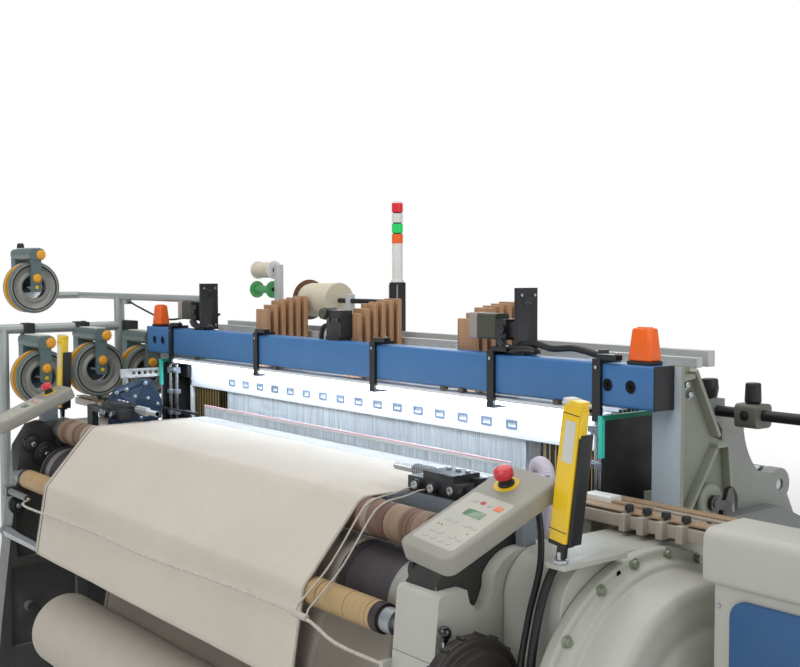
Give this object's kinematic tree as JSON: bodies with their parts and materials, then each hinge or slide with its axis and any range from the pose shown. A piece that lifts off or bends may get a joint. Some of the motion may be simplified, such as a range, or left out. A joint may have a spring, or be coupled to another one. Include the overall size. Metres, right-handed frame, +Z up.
{
  "type": "power loom",
  "caption": "Rapier weaving machine with warp beam, heald frames, swinging reed, rapiers, take-up rollers, cloth roll, consoles and weft feeders.",
  "frame": {"origin": "Centre of the four floor bolt holes, on the floor under the middle of the cloth's width.", "axes": "X runs along the reed to the machine's right end seen from the front, Y from the weaver's side to the warp beam, Z up."},
  "size_m": [4.14, 1.7764, 1.729],
  "materials": {
    "grey_casting": "satin",
    "pale_casting": "satin",
    "blue_paint": "satin",
    "black_plastic": "matte",
    "orange_lamp": "gloss",
    "black_steel": "satin",
    "lamp_white": "gloss",
    "pale_rail": "satin",
    "tower": "gloss",
    "cloth": "matte",
    "warp": "matte",
    "cord": "matte",
    "console_grey": "matte",
    "curtain_yellow": "gloss",
    "cover": "satin",
    "panel_blue": "satin",
    "plate_blue": "satin",
    "bright_steel": "satin",
    "hose": "gloss",
    "cable": "matte",
    "bobbin": "matte",
    "stand_grey": "satin",
    "feeder_teal": "satin",
    "disc": "satin",
    "arm_grey": "satin",
    "sley_paint": "satin",
    "reed_pink": "satin",
    "heald_white": "satin",
    "heald_wood": "matte",
    "brown_sleeve": "matte",
    "tan_sleeve": "matte",
    "dark_roller": "matte",
    "rapier": "matte",
    "stop_red": "gloss",
    "knob_black": "gloss"
  },
  "bodies": {
    "frame": {"side_frames": "grey_casting", "uprights": "pale_casting", "cross_members": "grey_casting", "top_beam": "blue_paint", "beam_end_caps": "black_plastic", "beam_lamps": "orange_lamp", "lamp_hooks": "black_steel", "light_bar": "lamp_white", "top_rails": "pale_rail", "signal_tower": "tower", "heald_guards": "black_plastic", "cloth": "cloth", "warp_sheet": "warp", "loose_cords": "cord", "consoles": "console_grey", "light_curtains": "curtain_yellow", "front_cover": "cover", "drive_housing": "cover", "round_cover": "cover", "end_boxes": "cover", "end_panel": "panel_blue", "bolted_plate": "plate_blue", "perforated_rail": "pale_rail", "temples": "black_steel", "rapier_guides": "bright_steel", "suction_hose": "hose", "control_cables": "cable", "leno_devices": "black_plastic", "leno_cables": "cable", "bobbin_stand": "bobbin", "feeder_stand": "stand_grey", "feeder_bodies": "feeder_teal", "whip_arms": "arm_grey", "drop_wires": "bright_steel"},
    "sley": {"sley": "sley_paint", "reed": "reed_pink"},
    "right_rapier": {"right_rapier": "rapier"},
    "left_rapier": {"left_rapier": "rapier"},
    "warp_beam": {"warp_beam": "warp"},
    "whip_roller": {"whip_roller": "bright_steel"},
    "breast_roller": {"breast_roller": "brown_sleeve"},
    "guide_roller": {"guide_roller": "tan_sleeve"},
    "turning_roller": {"turning_roller": "bright_steel"},
    "takeup_roller": {"takeup_roller": "dark_roller"},
    "cloth_roll": {"cloth_roll": "cloth"},
    "left_stop_button": {"left_stop_button": "stop_red"},
    "right_stop_button": {"right_stop_button": "stop_red"},
    "handwheel": {"handwheel": "knob_black"},
    "knob_lever": {"knob_lever": "knob_black"},
    "clamp_lever": {"clamp_lever": "black_steel"},
    "heald_frame_1": {"heald_frame_1": "heald_white"},
    "heald_frame_2": {"heald_frame_2": "heald_wood"},
    "heald_frame_3": {"heald_frame_3": "heald_wood"},
    "heald_frame_4": {"heald_frame_4": "heald_wood"},
    "heald_frame_5": {"heald_frame_5": "heald_wood"},
    "heald_frame_6": {"heald_frame_6": "heald_wood"},
    "feeder_disc_1": {"feeder_disc_1": "disc"},
    "feeder_disc_2": {"feeder_disc_2": "disc"},
    "feeder_disc_3": {"feeder_disc_3": "disc"},
    "feeder_disc_4": {"feeder_disc_4": "disc"}
  },
  "joints": [
    {"name": "sley_swing", "type": "hinge", "parent": "frame", "child": "sley", "pos_m": [0, -0.09, 0.6], "axis": [-1, 0, 0], "range_deg": [-13, 0]},
    {"name": "heald_lift_1", "type": "slide", "parent": "frame", "child": "heald_frame_1", "axis": [0, 0, 1], "range_m": [-0.03, 0.03]},
    {"name": "heald_lift_2", "type": "slide", "parent": "frame", "child": "heald_frame_2", "axis": [0, 0, 1], "range_m": [-0.03539, 0.03539]},
    {"name": "heald_lift_3", "type": "slide", "parent": "frame", "child": "heald_frame_3", "axis": [0, 0, 1], "range_m": [-0.04079, 0.04079]},
    {"name": "heald_lift_4", "type": "slide", "parent": "frame", "child": "heald_frame_4", "axis": [0, 0, 1], "range_m": [-0.04618, 0.04618]},
    {"name": "heald_lift_5", "type": "slide", "parent": "frame", "child": "heald_frame_5", "axis": [0, 0, 1], "range_m": [-0.05157, 0.05157]},
    {"name": "heald_lift_6", "type": "slide", "parent": "frame", "child": "heald_frame_6", "axis": [0, 0, 1], "range_m": [-0.05697, 0.05697]},
    {"name": "right_rapier_reach", "type": "slide", "parent": "frame", "child": "right_rapier", "axis": [-1, 0, 0], "range_m": [0, 0.79]},
    {"name": "left_rapier_reach", "type": "slide", "parent": "frame", "child": "left_rapier", "axis": [1, 0, 0], "range_m": [0, 0.79]},
    {"name": "warp_beam_turn", "type": "hinge", "parent": "frame", "child": "warp_beam", "pos_m": [0, 0.65, 0.43], "axis": [1, 0, 0], "continuous": true},
    {"name": "whip_roller_turn", "type": "hinge", "parent": "frame", "child": "whip_roller", "pos_m": [0, 0.62, 0.905], "axis": [1, 0, 0], "continuous": true},
    {"name": "breast_roller_turn", "type": "hinge", "parent": "frame", "child": "breast_roller", "pos_m": [0, -0.5, 0.905], "axis": [1, 0, 0], "continuous": true},
    {"name": "guide_roller_turn", "type": "hinge", "parent": "frame", "child": "guide_roller", "pos_m": [0, -0.655, 0.745], "axis": [1, 0, 0], "continuous": true},
    {"name": "turning_roller_turn", "type": "hinge", "parent": "frame", "child": "turning_roller", "pos_m": [0, -0.703, 0.545], "axis": [1, 0, 0], "continuous": true},
    {"name": "takeup_roller_turn", "type": "hinge", "parent": "frame", "child": "takeup_roller", "pos_m": [0, -0.5, 0.745], "axis": [1, 0, 0], "continuous": true},
    {"name": "cloth_roll_turn", "type": "hinge", "parent": "frame", "child": "cloth_roll", "pos_m": [0, -0.62, 0.25], "axis": [1, 0, 0], "continuous": true},
    {"name": "left_stop_press", "type": "slide", "parent": "frame", "child": "left_stop_button", "axis": [0, 0.3907, -0.9205], "range_m": [0, 0.006], "stiffness_N_per_m": 800},
    {"name": "right_stop_press", "type": "slide", "parent": "frame", "child": "right_stop_button", "axis": [-0.0802, 0.3907, -0.917], "range_m": [0, 0.006], "stiffness_N_per_m": 800},
    {"name": "handwheel_turn", "type": "hinge", "parent": "frame", "child": "handwheel", "pos_m": [1.314, -0.64, 0.64], "axis": [1, 0, 0], "continuous": true},
    {"name": "knob_lever_tilt", "type": "hinge", "parent": "frame", "child": "knob_lever", "pos_m": [1.284, -0.676, 0.7], "axis": [1, 0, 0], "range_deg": [-35, 35]},
    {"name": "clamp_lever_turn", "type": "hinge", "parent": "frame", "child": "clamp_lever", "pos_m": [1.338, 0.127, 0.939], "axis": [1, 0, 0], "range_deg": [-60, 60]},
    {"name": "feeder_turn_1", "type": "hinge", "parent": "frame", "child": "feeder_disc_1", "pos_m": [-1.53, -0.42, 1.068], "axis": [1, 0, 0], "continuous": true},
    {"name": "feeder_turn_2", "type": "hinge", "parent": "frame", "child": "feeder_disc_2", "pos_m": [-1.5, -0.196, 1.092], "axis": [1, 0, 0], "continuous": true},
    {"name": "feeder_turn_3", "type": "hinge", "parent": "frame", "child": "feeder_disc_3", "pos_m": [-1.476, 0.014, 1.074], "axis": [1, 0, 0], "continuous": true},
    {"name": "feeder_turn_4", "type": "hinge", "parent": "frame", "child": "feeder_disc_4", "pos_m": [-1.94, -0.3, 1.428], "axis": [1, 0, 0], "continuous": true}
  ],
  "couplings": [
    {"joint": "heald_lift_2", "follows": "heald_lift_1", "ratio": -1.1798},
    {"joint": "heald_lift_3", "follows": "heald_lift_1", "ratio": 1.3596},
    {"joint": "heald_lift_4", "follows": "heald_lift_1", "ratio": -1.5393},
    {"joint": "heald_lift_5", "follows": "heald_lift_1", "ratio": 1.7191},
    {"joint": "heald_lift_6", "follows": "heald_lift_1", "ratio": -1.8989},
    {"joint": "left_rapier_reach", "follows": "right_rapier_reach", "ratio": 1},
    {"joint": "whip_roller_turn", "follows": "warp_beam_turn", "ratio": 5.3333},
    {"joint": "breast_roller_turn", "follows": "warp_beam_turn", "ratio": 5.3333},
    {"joint": "guide_roller_turn", "follows": "warp_beam_turn", "ratio": 7.0588},
    {"joint": "turning_roller_turn", "follows": "warp_beam_turn", "ratio": 12},
    {"joint": "takeup_roller_turn", "follows": "warp_beam_turn", "ratio": -2.4},
    {"joint": "cloth_roll_turn", "follows": "warp_beam_turn", "ratio": -1.9355}
  ]
}
